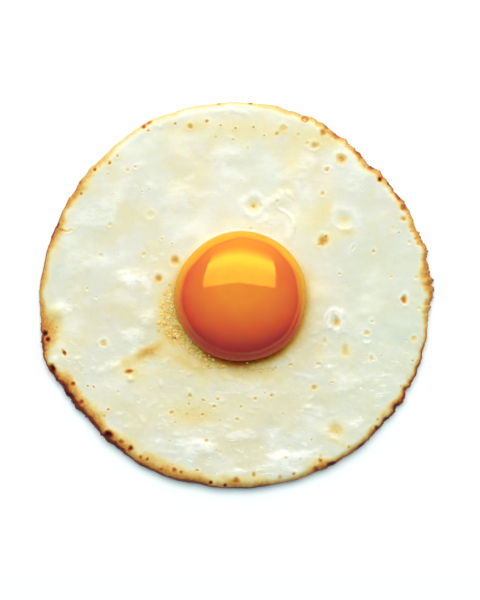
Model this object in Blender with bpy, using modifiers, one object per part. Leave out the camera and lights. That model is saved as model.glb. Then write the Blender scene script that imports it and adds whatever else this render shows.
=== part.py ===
"""Fried egg, sunny side up: a round cooked white with a whole yolk set into it.

Metres, +Z up. The egg rests on z = 0 and the origin is below the centre of its box.
"""

import math

import bpy
from mathutils import Vector

MM = 0.001
TURN = 2.0 * math.pi

# Yolk: a drop that sags under its own weight, so its widest level is low.
YOLK_RADIUS = 19.7 * MM
YOLK_BOTTOM = 1.3 * MM
YOLK_WIDEST = 6.8 * MM
YOLK_TOP = 17.3 * MM
YOLK_DOME_FULLNESS = 2.15  # 2 is an ellipse, more is fuller at the shoulder
YOLK_BASE_FULLNESS = 2.6
YOLK_STEPS = 72
YOLK_DOME_POINTS = 10
YOLK_BASE_POINTS = 6

# White: thick beside the yolk, thin towards a rounded rim that curls up from the pan.
WHITE_RADIUS = 59.1 * MM
WHITE_SHIFT = Vector((-1.6 * MM, 0.1 * MM, 0.0))  # from the yolk's axis
LIP_HEIGHT = 5.3 * MM
OUTER_HEIGHT = 2.4 * MM
SLOPE_POWER = 1.9
RIM_WIDTH = 3.4 * MM
RIM_TIP_HEIGHT = 1.1 * MM
SOCKET_GAP = 0.35 * MM
LIP_ROUND = 0.5 * MM
WHITE_STEPS = 180
TOP_SPANS = 8
TOP_SPAN_GROWTH = 1.15  # above 1, the spans are shorter beside the yolk
RIM_POINTS = 4
CURL_POINTS = 3

# Waves round an outline: (how many, depth, degrees of a crest).
WHITE_EDGE_WAVES = (
    (2, 0.40 * MM, 160.0),
    (3, 0.46 * MM, 90.0),
    (4, 0.23 * MM, 10.0),
    (6, 0.25 * MM, 11.0),
    (8, 0.22 * MM, 21.0),
    (13, 0.14 * MM, 5.0),
    (29, 0.12 * MM, 3.0),
)
YOLK_EDGE_WAVES = (
    (2, 0.18 * MM, 10.0),
    (3, 0.14 * MM, 75.0),
    (5, 0.08 * MM, 30.0),
)

# Lumps and dents of the rim: (degrees, how far out, half width).
RIM_LUMPS = (
    (0.5, 1.0 * MM, 2.6 * MM),
    (13.5, 0.4 * MM, 1.8 * MM),
    (56.0, -0.3 * MM, 4.5 * MM),
    (180.0, 0.5 * MM, 5.0 * MM),
    (198.0, 1.1 * MM, 6.0 * MM),
    (242.0, 0.5 * MM, 9.0 * MM),
    (270.0, 0.6 * MM, 8.0 * MM),
    (327.0, 0.6 * MM, 2.5 * MM),
)

# Swells across the top of the white: (degrees of travel, length, height, start in degrees).
SWELLS = (
    (20.0, 31.0 * MM, 0.16 * MM, 40.0),
    (75.0, 23.0 * MM, 0.14 * MM, 200.0),
    (128.0, 41.0 * MM, 0.20 * MM, 310.0),
    (160.0, 15.0 * MM, 0.08 * MM, 90.0),
)

# Burst bubbles large enough to shape the top: (x, y, radius, depth) from the yolk's axis.
CRATERS = (
    (31.5 * MM, 23.2 * MM, 2.6 * MM, 0.9 * MM),
    (5.1 * MM, 26.8 * MM, 2.1 * MM, 0.8 * MM),
    (28.5 * MM, -40.2 * MM, 2.4 * MM, 0.6 * MM),
    (28.3 * MM, -7.6 * MM, 2.6 * MM, 0.6 * MM),
    (-33.6 * MM, -23.6 * MM, 2.2 * MM, 0.7 * MM),
)

WHITE_COLOUR = (0.80, 0.78, 0.62, 1.0)
YOLK_COLOUR = (0.75, 0.22, 0.02, 1.0)
WHITE_ROUGHNESS = 0.38
YOLK_ROUGHNESS = 0.16


def waves(angle, rows):
    """Sum of cosine waves round an outline, each with a crest at its given direction."""
    return sum(
        depth * math.cos(count * (angle - math.radians(crest)))
        for count, depth, crest in rows
    )


def arc_gap(angle, direction):
    """Angle from a direction in degrees, the short way round, in radians."""
    return (angle - math.radians(direction) + math.pi) % TURN - math.pi


def white_edge(angle):
    """Radius of the white's rim in a direction, from the white's own centre."""
    lumps = sum(
        out * math.exp(-((WHITE_RADIUS * arc_gap(angle, direction) / width) ** 2))
        for direction, out, width in RIM_LUMPS
    )
    return WHITE_RADIUS + waves(angle, WHITE_EDGE_WAVES) + lumps


def yolk_edge(angle):
    """How much wider than its mean radius the yolk is in a direction."""
    return 1.0 + waves(angle, YOLK_EDGE_WAVES) / YOLK_RADIUS


def superellipse(turn, radius, height, fullness):
    """A point of a quarter superellipse: turn 0 is at the widest level, 1 on the axis."""
    angle = turn * math.pi / 2.0
    power = 2.0 / fullness
    return radius * math.cos(angle) ** power, height * math.sin(angle) ** power


def yolk_profile():
    """The yolk's half section from its top down to its underside, on both ends at x = 0."""
    dome_height = YOLK_TOP - YOLK_WIDEST
    base_height = YOLK_WIDEST - YOLK_BOTTOM
    points = [(0.0, YOLK_TOP)]
    for step in range(1, YOLK_DOME_POINTS):
        turn = 1.0 - step / YOLK_DOME_POINTS
        radius, height = superellipse(turn, YOLK_RADIUS, dome_height, YOLK_DOME_FULLNESS)
        points.append((radius, YOLK_WIDEST + height))
    for step in range(YOLK_BASE_POINTS):
        turn = step / YOLK_BASE_POINTS
        radius, height = superellipse(turn, YOLK_RADIUS, base_height, YOLK_BASE_FULLNESS)
        points.append((radius, YOLK_WIDEST - height))
    points.append((0.0, YOLK_BOTTOM))
    return points


def socket_profile():
    """The hollow that the yolk sits in, from its floor up to just under the lip."""
    under_yolk = [point for point in yolk_profile() if point[1] < LIP_HEIGHT - LIP_ROUND]
    floor_first = reversed(under_yolk)
    return [
        (radius + SOCKET_GAP if radius > 0.0 else 0.0, height - SOCKET_GAP)
        for radius, height in floor_first
    ]


def top_height(across):
    """Height of the white's top: across is 0 at the lip and 1 at the rim."""
    return OUTER_HEIGHT + (LIP_HEIGHT - OUTER_HEIGHT) * (1.0 - across) ** SLOPE_POWER


def white_profile():
    """The white's half section: socket floor, lip, top, round rim, curled edge, underside."""
    lip_radius = YOLK_RADIUS + SOCKET_GAP
    rim_start = WHITE_RADIUS - RIM_WIDTH
    points = socket_profile()
    points.append((lip_radius, LIP_HEIGHT - LIP_ROUND))
    for span in range(TOP_SPANS + 1):
        share = (span / TOP_SPANS) ** TOP_SPAN_GROWTH
        radius = lip_radius + LIP_ROUND + share * (rim_start - lip_radius - LIP_ROUND)
        across = (radius - lip_radius) / (WHITE_RADIUS - lip_radius)
        points.append((radius, top_height(across)))
    shoulder = points[-1][1] - RIM_TIP_HEIGHT
    for step in range(1, RIM_POINTS + 1):
        angle = step / RIM_POINTS * math.pi / 2.0
        radius = rim_start + RIM_WIDTH * math.sin(angle)
        points.append((radius, RIM_TIP_HEIGHT + shoulder * math.cos(angle)))
    for step in range(1, CURL_POINTS + 1):
        inward = step / CURL_POINTS
        radius = WHITE_RADIUS - RIM_WIDTH * inward
        points.append((radius, RIM_TIP_HEIGHT * (1.0 - inward) ** 2))
    points.append((0.0, 0.0))
    return points


def turn_profile(name, profile, steps):
    """A closed solid turned from a half section with a Screw modifier, applied."""
    outline = bpy.data.meshes.new(name + "_section")
    vertices = [(radius, 0.0, height) for radius, height in profile]
    edges = [(index, index + 1) for index in range(len(profile) - 1)]
    outline.from_pydata(vertices, edges, [])
    section = bpy.data.objects.new(name, outline)
    bpy.context.scene.collection.objects.link(section)
    screw = section.modifiers.new("turn", "SCREW")
    screw.axis = "Z"
    screw.angle = TURN
    screw.steps = steps
    screw.render_steps = steps
    screw.use_merge_vertices = True
    screw.merge_threshold = 0.00001
    evaluated = section.evaluated_get(bpy.context.evaluated_depsgraph_get())
    mesh = bpy.data.meshes.new_from_object(evaluated)
    mesh.name = name
    bpy.data.objects.remove(section)
    bpy.data.meshes.remove(outline)
    solid = bpy.data.objects.new(name, mesh)
    mesh.shade_smooth()
    return solid


def relief(point):
    """Gentle rise or dip of the white's top at a point."""
    rise = 0.0
    for travel, length, height, start in SWELLS:
        heading = math.radians(travel)
        along = point.x * math.cos(heading) + point.y * math.sin(heading)
        rise += height * math.sin(TURN * along / length + math.radians(start))
    for x, y, radius, depth in CRATERS:
        distance = math.hypot(point.x - x, point.y - y) / radius
        rise -= depth * math.exp(-(distance**2))
    return rise


def shape_yolk(mesh):
    """Make the turned yolk slightly out of round."""
    for vertex in mesh.vertices:
        angle = math.atan2(vertex.co.y, vertex.co.x)
        vertex.co.x *= yolk_edge(angle)
        vertex.co.y *= yolk_edge(angle)


def shape_white(mesh):
    """Give the turned white its uneven outline and top. The socket follows the yolk's edge."""
    lip_radius = YOLK_RADIUS + SOCKET_GAP
    for vertex in mesh.vertices:
        radius = math.hypot(vertex.co.x, vertex.co.y)
        if radius == 0.0:
            continue
        angle = math.atan2(vertex.co.y, vertex.co.x)
        direction = Vector((math.cos(angle), math.sin(angle), 0.0))
        across = max(0.0, (radius - lip_radius) / (WHITE_RADIUS - lip_radius))
        lip = min(radius, lip_radius) * yolk_edge(angle)
        outward = white_edge(angle) - lip_radius * yolk_edge(angle)
        height = vertex.co.z
        vertex.co = direction * (lip + across * outward) + WHITE_SHIFT * across
        vertex.co.z = height
        if 0.0 < across < 1.0 and height > RIM_TIP_HEIGHT:
            # The relief fades out at the lip and the rim's tip, which keep their heights.
            vertex.co.z += relief(vertex.co) * math.sqrt(math.sin(math.pi * across))


def add_material(solid, colour, roughness):
    """One glossy food material."""
    material = bpy.data.materials.new(solid.name)
    material.use_nodes = True
    shader = material.node_tree.nodes["Principled BSDF"]
    shader.inputs["Base Color"].default_value = colour
    shader.inputs["Roughness"].default_value = roughness
    shader.inputs["Metallic"].default_value = 0.0
    solid.data.materials.append(material)


def centre_on_origin(solids):
    """Place the solids so that the origin is below the centre of their common box."""
    points = [vertex.co for solid in solids for vertex in solid.data.vertices]
    shift = Vector((0.0, 0.0, 0.0))
    for axis in (0, 1):
        values = [point[axis] for point in points]
        shift[axis] = -(min(values) + max(values)) / 2.0
    for solid in solids:
        solid.location = shift


def main():
    """Build the egg."""
    for old in list(bpy.data.objects):
        bpy.data.objects.remove(old)
    egg = bpy.data.collections.new("fried_egg")
    bpy.context.scene.collection.children.link(egg)

    white = turn_profile("egg_white", white_profile(), WHITE_STEPS)
    shape_white(white.data)
    add_material(white, WHITE_COLOUR, WHITE_ROUGHNESS)

    yolk = turn_profile("yolk", yolk_profile(), YOLK_STEPS)
    shape_yolk(yolk.data)
    add_material(yolk, YOLK_COLOUR, YOLK_ROUGHNESS)

    solids = (white, yolk)
    for solid in solids:
        egg.objects.link(solid)
    centre_on_origin(solids)


main()
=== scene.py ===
"""Looks of the fried egg: its browned and bubbled white, glossy yolk, froth and crisp edge.

The shapes are worked out in millimetres, in the frame of the CAD model, and made in metres.
"""

import math

import bpy
import numpy as np
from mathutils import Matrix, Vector
from mathutils.geometry import delaunay_2d_cdt


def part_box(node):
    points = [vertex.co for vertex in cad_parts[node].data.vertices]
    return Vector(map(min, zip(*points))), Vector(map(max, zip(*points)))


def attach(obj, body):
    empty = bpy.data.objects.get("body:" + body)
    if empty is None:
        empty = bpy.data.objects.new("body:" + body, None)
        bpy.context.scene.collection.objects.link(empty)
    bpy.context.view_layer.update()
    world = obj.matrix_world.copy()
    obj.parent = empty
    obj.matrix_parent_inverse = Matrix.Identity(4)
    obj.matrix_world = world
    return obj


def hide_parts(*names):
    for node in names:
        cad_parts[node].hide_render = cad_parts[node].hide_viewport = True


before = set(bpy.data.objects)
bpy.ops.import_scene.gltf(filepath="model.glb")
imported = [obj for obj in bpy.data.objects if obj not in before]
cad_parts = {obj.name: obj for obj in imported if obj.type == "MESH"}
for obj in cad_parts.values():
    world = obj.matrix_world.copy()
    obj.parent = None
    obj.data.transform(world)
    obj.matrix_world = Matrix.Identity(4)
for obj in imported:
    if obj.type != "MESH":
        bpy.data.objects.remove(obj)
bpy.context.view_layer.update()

MM = 0.001
TURN = 2.0 * math.pi

# The CAD model's own measures, in millimetres.
YOLK_LOW, YOLK_HIGH = (np.array(corner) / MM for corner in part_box("yolk"))
WHITE_HIGH = np.array(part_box("egg_white")[1]) / MM
AXIS = (YOLK_LOW[:2] + YOLK_HIGH[:2]) / 2.0
LIP_HEIGHT = WHITE_HIGH[2]

# Section of the white.
OUTER_HEIGHT = 3.3
LOW_SIDE_RISE = 0.8
SLOPE_POWER = 1.7
RIM_WIDTH = 3.0
RIM_TIP_HEIGHT = 1.1
CURL_WIDTH = 3.4
SOCKET_FLOOR = 1.2

# Section of the yolk, whose widest level is low because it sags.
YOLK_WIDEST = 6.8
YOLK_DOME_FULLNESS = 2.15
YOLK_BASE_FULLNESS = 2.6
FLANK_SHARES = (0.835, 0.925)

# Mesh spacing.
RIM_STEPS = 1100
RIM_RINGS = (3.0, 2.6, 2.25, 1.9, 1.6, 1.3, 1.05, 0.8, 0.58, 0.38, 0.2, 0.07)
CURL_RINGS = (0.1, 0.35, 0.7, 1.2, 1.8, 2.5, 3.4)
LIP_STEPS = 340
LIP_RINGS = (0.0, 0.22, 0.46, 0.75, 1.1, 1.5, 2.0)
LIP_OVERLAP = 0.25
SOCKET_RINGS = (0.9, 0.7, 0.4)
COARSE_PITCH = 0.85
FINE_PITCH = 0.40
UNDER_PITCH = 1.1
LEAST_SPACING = 0.16
PIT_RINGS = (0.2, 0.42, 0.62, 0.8, 0.93, 1.05, 1.2, 1.4, 1.7, 2.1)
PIT_PITCH = 0.24
YOLK_STEPS = 288
YOLK_DOME_RINGS = 96
YOLK_BASE_RINGS = 16

# Scattered things: seed of the random draw and how many are drawn.
PIT_SEED, PIT_DRAWS = 5, 70
PIMPLE_SEED, PIMPLE_COUNT = 8, 300
CRUMB_SEED, CRUMB_COUNT = 6, 420
FROTH_SEED = 3
SCATTER_INNER = 21.5
SCATTER_RIM_GAP = 2.0


# ---------------------------------------------------------------- smooth numbers


class Noise:
    """Smooth random values in space from -1 to 1, the same each run for one seed."""

    SIZE = 48

    def __init__(self, seed):
        rng = np.random.default_rng(seed)
        self.values = rng.uniform(-1.0, 1.0, (self.SIZE,) * 3)

    def layer(self, points, length):
        """One octave, with bumps about as far apart as length."""
        place = points / length
        cell = np.floor(place).astype(int)
        inside = place - cell
        ease = inside * inside * (3.0 - 2.0 * inside)
        total = np.zeros(len(points))
        for corner in np.ndindex(2, 2, 2):
            weight = np.prod(np.where(corner, ease, 1.0 - ease), axis=1)
            index = (cell + corner) % self.SIZE
            total += weight * self.values[index[:, 0], index[:, 1], index[:, 2]]
        return total

    def at(self, points, length, octaves=3):
        """Several octaves, each half as long and half as strong as the one before."""
        return sum(self.layer(points, length / 2**k) / 2**k for k in range(octaves))


def ramp(value, low, high):
    """A smooth step from 0 at low to 1 at high."""
    share = np.clip((value - low) / (high - low), 0.0, 1.0)
    return share * share * (3.0 - 2.0 * share)


def hump(value, centre, width):
    """A bell curve of height 1."""
    return np.exp(-(((value - centre) / width) ** 2))


def polar(points):
    """Direction and distance of points from the yolk's axis."""
    across = points[:, :2] - AXIS
    return np.arctan2(across[:, 1], across[:, 0]), np.hypot(across[:, 0], across[:, 1])


def flattened(points):
    """Points in plan as places in space at height 0."""
    return np.column_stack((points[:, :2], np.zeros(len(points))))


def heading(angle, height=0.0):
    """Directions in plan as places in space, one unit out."""
    return np.stack((np.cos(angle), np.sin(angle), np.full_like(angle, height)), axis=1)


def round_table(rows):
    """Functions of a direction in radians, one for each column of rows after the degrees."""
    table = np.array(rows, float)
    degrees = table[:, 0]

    def column(values):
        return lambda angle: np.interp(np.degrees(angle) % 360.0, degrees, values, period=360.0)

    return [column(table[:, k]) for k in range(1, table.shape[1])]


def outline_of(node, steps, keep):
    """How far a CAD node reaches from the yolk's axis in each direction, as a smooth function."""
    points = np.array([vertex.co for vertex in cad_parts[node].data.vertices]) / MM
    angle, radius = polar(points)
    number = np.round(angle / TURN * steps).astype(int) % steps
    furthest = np.zeros(steps)
    np.maximum.at(furthest, number, radius)
    waves = np.fft.rfft(furthest)
    waves[keep:] = 0.0
    samples = np.fft.irfft(waves, steps)
    directions = np.arange(steps) * TURN / steps
    return lambda direction: np.interp(direction % TURN, directions, samples, period=TURN)


# ---------------------------------------------------------------- what lies where on the egg


def pit(x, y, radius, depth=0.28, lip=0.08, core=0.0, ring=0.0, green=0.0, arc=0.0, tall=1.0, turn=0.0):
    """A burst bubble: its place, size and browning."""
    return {
        "x": x, "y": y, "radius": radius, "depth": depth, "lip": lip, "core": core,
        "ring": ring, "green": green, "arc": arc, "tall": tall, "turn": turn,
    }


PITS = [
    # upper right
    pit(20.8, 53.1, 0.9, ring=0.38, core=0.2),
    pit(26.1, 49.0, 1.1, core=0.45),
    pit(23.5, 45.1, 1.2, core=0.3, lip=0.16),
    pit(31.8, 41.1, 1.5, ring=0.2, core=0.42, lip=0.2),
    pit(27.3, 37.8, 0.8, core=0.34, lip=0.16),
    pit(26.0, 30.6, 0.8, core=0.25),
    pit(32.8, 22.8, 2.6, depth=0.3, lip=0.18, core=0.14, green=1.0),
    pit(21.5, 22.0, 5.4, depth=0.0, lip=0.0, green=0.45, tall=1.2),
    pit(26.0, 16.4, 1.9, core=0.36, depth=0.2, lip=0.14, turn=40.0, tall=0.9),
    pit(25.0, 15.2, 0.8, core=0.28, depth=0.1, turn=10.0, tall=0.5),
    pit(27.0, 17.6, 0.7, core=0.42, depth=0.2, turn=60.0, tall=0.6),
    pit(43.4, 35.0, 1.0, core=0.8),
    pit(40.9, 38.6, 0.9, core=0.55),
    pit(50.6, 23.0, 1.0, core=0.4),
    pit(49.1, 18.9, 0.35, core=0.4),
    pit(52.7, 19.2, 0.35, core=0.4),
    pit(41.4, 13.1, 0.6, core=0.31),
    # top
    pit(14.2, 50.1, 1.2, ring=0.16, core=0.18, lip=0.12, depth=0.15),
    pit(5.1, 27.0, 2.2, depth=0.7, lip=0.22, core=0.16, green=0.4),
    pit(5.1, 26.8, 0.9, depth=0.1, core=0.42, tall=0.8),
    pit(4.3, 20.3, 0.9, depth=0.15, lip=0.05, core=0.31, tall=0.5),
    pit(-14.0, 50.9, 0.9, core=0.35, depth=0.2),
    pit(-8.9, 52.5, 0.6, core=0.45),
    pit(-18.6, 51.7, 0.5, core=0.45),
    pit(-4.8, 51.2, 0.35, core=0.45),
    pit(-0.3, 50.4, 0.35, core=0.4),
    pit(5.1, 50.7, 0.35, core=0.4),
    pit(8.4, 48.1, 0.35, core=0.25),
    pit(-1.0, 46.9, 0.4, core=0.19),
    # right
    pit(31.1, 6.3, 0.5, core=0.22),
    pit(35.2, 14.1, 0.9, depth=0.15, core=0.11, tall=0.5, turn=60.0),
    pit(50.6, -1.5, 1.0, core=0.55, lip=0.2, tall=1.35, depth=0.6),
    pit(29.9, -8.0, 1.45, core=0.05, lip=0.34, tall=1.5, turn=12.0, depth=0.7),
    pit(30.1, -8.2, 1.0, core=0.36, lip=0.0, tall=1.5, turn=12.0, depth=0.1),
    pit(39.4, -11.6, 1.0, core=0.25, lip=0.14, tall=0.8),
    pit(32.8, -16.7, 1.1, depth=0.25, core=0.15, tall=1.8),
    pit(40.7, -19.2, 0.7, core=0.19, tall=1.3),
    pit(40.9, -8.1, 0.6, core=0.15),
    pit(53.2, -19.9, 0.5, core=0.5),
    pit(53.6, -13.2, 0.9, depth=0.2, core=0.2, ring=0.2),
    pit(26.6, -14.0, 0.8, core=0.15, tall=1.4),
    pit(24.8, -20.9, 0.8, core=0.19, tall=0.7),
    # lower right
    pit(23.4, -27.8, 0.9, core=0.31),
    pit(28.8, -26.4, 0.6, core=0.22, tall=0.7),
    pit(29.9, -40.7, 2.2, depth=0.28, lip=0.1, core=0.14, arc=0.1),
    pit(16.3, -21.1, 0.8, core=0.25, tall=0.7),
    pit(42.3, -40.1, 0.8, core=0.6),
    pit(42.6, -37.6, 0.5, core=0.4),
    pit(33.9, -45.9, 0.5, core=0.4),
    pit(25.4, -50.0, 0.8, core=0.45, green=0.4),
    pit(24.0, -52.6, 0.9, core=0.45, green=0.3),
    pit(17.3, -54.1, 0.6, core=0.5),
    pit(13.2, -55.0, 0.9, core=0.3, green=0.5),
    # bottom
    pit(-14.0, -30.4, 0.6, core=0.31),
    pit(-10.0, -31.8, 0.5, core=0.22),
    pit(-5.7, -31.5, 0.5, core=0.28, tall=0.7),
    pit(5.7, -31.3, 0.6, core=0.31),
    pit(10.5, -30.4, 0.6, core=0.31),
    pit(8.6, -29.6, 0.4, core=0.22),
    pit(1.3, -33.7, 0.5, core=0.25),
    pit(-19.6, -35.5, 0.8, core=0.25, tall=0.7, turn=30.0),
    pit(-10.2, -36.2, 0.7, core=0.22, tall=0.7),
    pit(-6.7, -33.7, 0.6, core=0.19),
    pit(0.3, -37.6, 0.6, core=0.28),
    pit(-7.8, -56.6, 0.7, core=0.9, depth=0.3),
    pit(-3.5, -57.5, 0.6, core=0.9, depth=0.3),
    pit(-0.2, -56.0, 1.0, core=0.45, green=0.6, depth=0.3),
    pit(-18.8, -52.8, 0.7, core=0.5),
    pit(-16.7, -53.5, 0.5, core=0.5),
    pit(-11.8, -52.9, 0.6, core=0.45, tall=0.7),
    pit(5.2, -54.1, 0.6, core=0.4, tall=1.5),
    pit(-22.8, -52.6, 0.5, core=0.5),
    # lower left
    pit(-55.5, -22.2, 1.1, core=1.0, depth=0.4, tall=1.5, turn=30.0),
    pit(-49.3, -26.8, 0.8, core=0.6),
    pit(-45.0, -27.5, 0.4, core=0.5),
    pit(-43.2, -27.8, 0.4, core=0.45),
    pit(-46.8, -32.3, 0.7, core=0.5, green=0.8),
    pit(-38.7, -34.6, 0.5, core=0.5),
    pit(-38.7, -42.0, 1.8, core=1.0, depth=0.4, tall=0.7, turn=-25.0),
    pit(-34.7, -44.3, 0.9, core=0.4, depth=0.2),
    pit(-31.9, -46.2, 0.9, core=0.85),
    pit(-29.0, -48.9, 0.6, core=0.5),
    pit(-26.9, -49.6, 0.6, core=0.55),
    pit(-32.4, -23.3, 1.5, depth=0.5, lip=0.1, core=0.31, tall=0.5, turn=10.0),
    pit(-52.1, -17.4, 0.7, core=0.7, tall=1.6, turn=30.0),
    # left
    pit(-50.6, 19.4, 1.3, core=0.2, depth=0.1, tall=0.4, turn=20.0),
    pit(-18.6, 10.6, 1.5, core=0.42, ring=0.12, lip=0.06, depth=0.35),
    pit(-23.6, 5.0, 1.35, core=0.44, ring=0.12, lip=0.12, depth=0.4),
    pit(-19.5, 15.4, 0.5, core=0.28, turn=40.0, tall=0.6),
    pit(-22.6, 16.9, 0.4, core=0.22),
    pit(-45.1, 1.9, 0.5, core=0.19),
    pit(-40.2, -14.7, 1.1, core=0.28, lip=0.18),
    pit(-18.7, -13.2, 0.9, core=0.4, depth=0.3),
    # upper left
    pit(-28.1, 51.0, 0.8, core=0.6, depth=0.2),
    pit(-26.7, 49.6, 0.5, core=0.45),
    pit(-36.0, 42.1, 0.5, core=0.45),
    pit(-38.4, 39.9, 0.65, core=0.6),
    pit(-42.8, 37.9, 0.65, core=0.6),
    pit(-46.9, 30.6, 0.5, core=0.5),
    pit(-49.2, 32.1, 0.8, core=0.4, ring=0.3, depth=0.25),
    pit(-30.6, 38.6, 0.5, core=0.2),
    pit(-26.4, 31.8, 0.3, core=0.22),
    pit(-28.5, 31.2, 0.3, core=0.22),
    # close to the rim, all round
    pit(46.4, 33.6, 1.2, core=0.95, depth=0.2, tall=0.6, turn=-50.0),
    pit(36.8, 43.0, 1.6, core=0.46, ring=0.2, depth=0.3, tall=0.6, turn=-38.0),
    pit(49.0, 29.8, 1.6, core=0.46, depth=0.2, tall=0.5, turn=-60.0),
    pit(50.6, 26.4, 1.3, core=0.45, depth=0.2),
    pit(30.4, 48.6, 1.9, core=0.42, depth=0.2, tall=0.6, turn=-25.0),
    pit(27.4, 50.9, 1.0, core=0.36, depth=0.2),
    pit(4.2, 58.0, 0.8, core=0.60, depth=0.1, tall=0.5),
    pit(-5.4, 57.9, 0.8, core=0.35, depth=0.1, tall=0.6),
    pit(-26.4, 52.2, 1.2, core=0.45, depth=0.2, tall=0.6, turn=28.0),
    pit(-47.4, 34.2, 0.8, core=0.40, depth=0.2),
    pit(-54.4, 21.4, 0.9, core=0.85, depth=0.2),
    pit(-52.6, 19.6, 1.6, core=0.30, depth=0.2, tall=0.3, turn=-20.0),
    pit(-57.8, -11.5, 0.8, core=1.0, depth=0.1),
    pit(-57.0, -13.4, 0.9, core=1.0, depth=0.1),
    pit(-50.4, -30.4, 1.3, core=0.75, depth=0.2, tall=0.7, turn=-50.0),
    pit(38.0, -45.6, 1.6, core=0.80, depth=0.2, tall=0.5, turn=40.0),
    pit(48.2, -34.0, 1.5, core=0.75, depth=0.2, tall=0.6, turn=52.0),
    pit(28.6, -51.3, 1.6, core=1.0, depth=0.2, tall=0.6, turn=25.0),
    pit(45.0, -37.6, 1.1, core=0.80, depth=0.2, tall=0.6, turn=50.0),
    # upper left again
    pit(-38.9, 36.6, 0.3, core=0.4),
    pit(-26.1, 24.1, 1.0, core=0.074, green=0.5, depth=0.15),
]

# Small patches of froth by the yolk: (x, y, spread, bubbles).
FROTH_SPOTS = (
    (-8.7, -21.4, 1.1, 12),
    (-4.8, -21.6, 1.0, 10),
    (6.0, -22.1, 1.4, 24),
    (10.5, -22.2, 1.0, 12),
    (-19.0, -12.5, 1.0, 14),
    (-22.4, -9.0, 1.2, 16),
)

# Froth beside the yolk: degrees, spread in degrees, gap, spread outwards, count.
FROTH_BANDS = (
    (204.0, 12.0, 0.2, 1.2, 230),
    (197.0, 10.0, 1.0, 2.3, 120),
    (228.0, 9.0, 0.3, 1.4, 120),
)

# Broad swellings of thick white that catch the light and carry a painted sheen: (x, y, half width, half
# depth, height, turn).
SWELLINGS = (
    (1.5, -42.5, 4.4, 1.8, 0.28, 4.0),
    (36.5, 36.5, 4.0, 5.4, 0.24, -45.0),
    (34.0, -27.0, 6.0, 2.2, 0.22, 20.0),
    (-32.0, -25.4, 1.0, 0.9, 0.60, 0.0),
    (-36.5, -21.6, 2.0, 1.2, 0.24, 20.0),
    (-53.0, -4.4, 2.4, 2.2, 0.42, 0.0),
    (-11.2, -45.6, 5.2, 2.4, 0.50, -8.0),
    (14.3, -49.7, 6.4, 3.0, 0.50, 12.0),
    (0.5, -53.4, 3.2, 1.1, 0.20, 0.0),
    (-20.5, -47.6, 3.4, 0.8, 0.16, -6.0),
    (-53.6, -5.0, 2.6, 2.0, 0.30, 0.0),
    (-31.7, 4.6, 4.8, 2.8, 0.40, 8.0),
    (-26.8, -7.0, 3.2, 2.2, 0.32, 20.0),
    (-30.9, -12.4, 3.4, 2.2, 0.34, 0.0),
    (13.2, 29.4, 4.6, 1.3, 0.30, 24.0),
    (16.6, 19.8, 1.0, 4.6, 0.22, -16.0),
    (9.0, 22.8, 3.6, 1.5, 0.22, 0.0),
    (19.0, 37.0, 5.0, 3.0, 0.26, 30.0),
    (-4.0, 42.5, 6.0, 2.4, 0.24, 0.0),
    (-16.0, 30.0, 6.5, 2.6, 0.22, 0.0),
    (-40.0, 26.0, 7.0, 4.0, 0.20, 40.0),
    (-48.0, 10.0, 5.0, 4.0, 0.16, 70.0),
    (24.0, -34.8, 3.8, 1.0, 0.14, -8.0),
    (9.5, -26.8, 2.6, 0.6, 0.10, -12.0),
    (20.0, -24.4, 3.6, 0.7, 0.14, -14.0),
    (-8.4, -40.0, 2.8, 0.8, 0.14, 6.0),
    (36.5, -38.4, 2.6, 0.8, 0.16, 18.0),
    (-41.5, -23.0, 2.4, 1.0, 0.16, 12.0),
)

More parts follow.
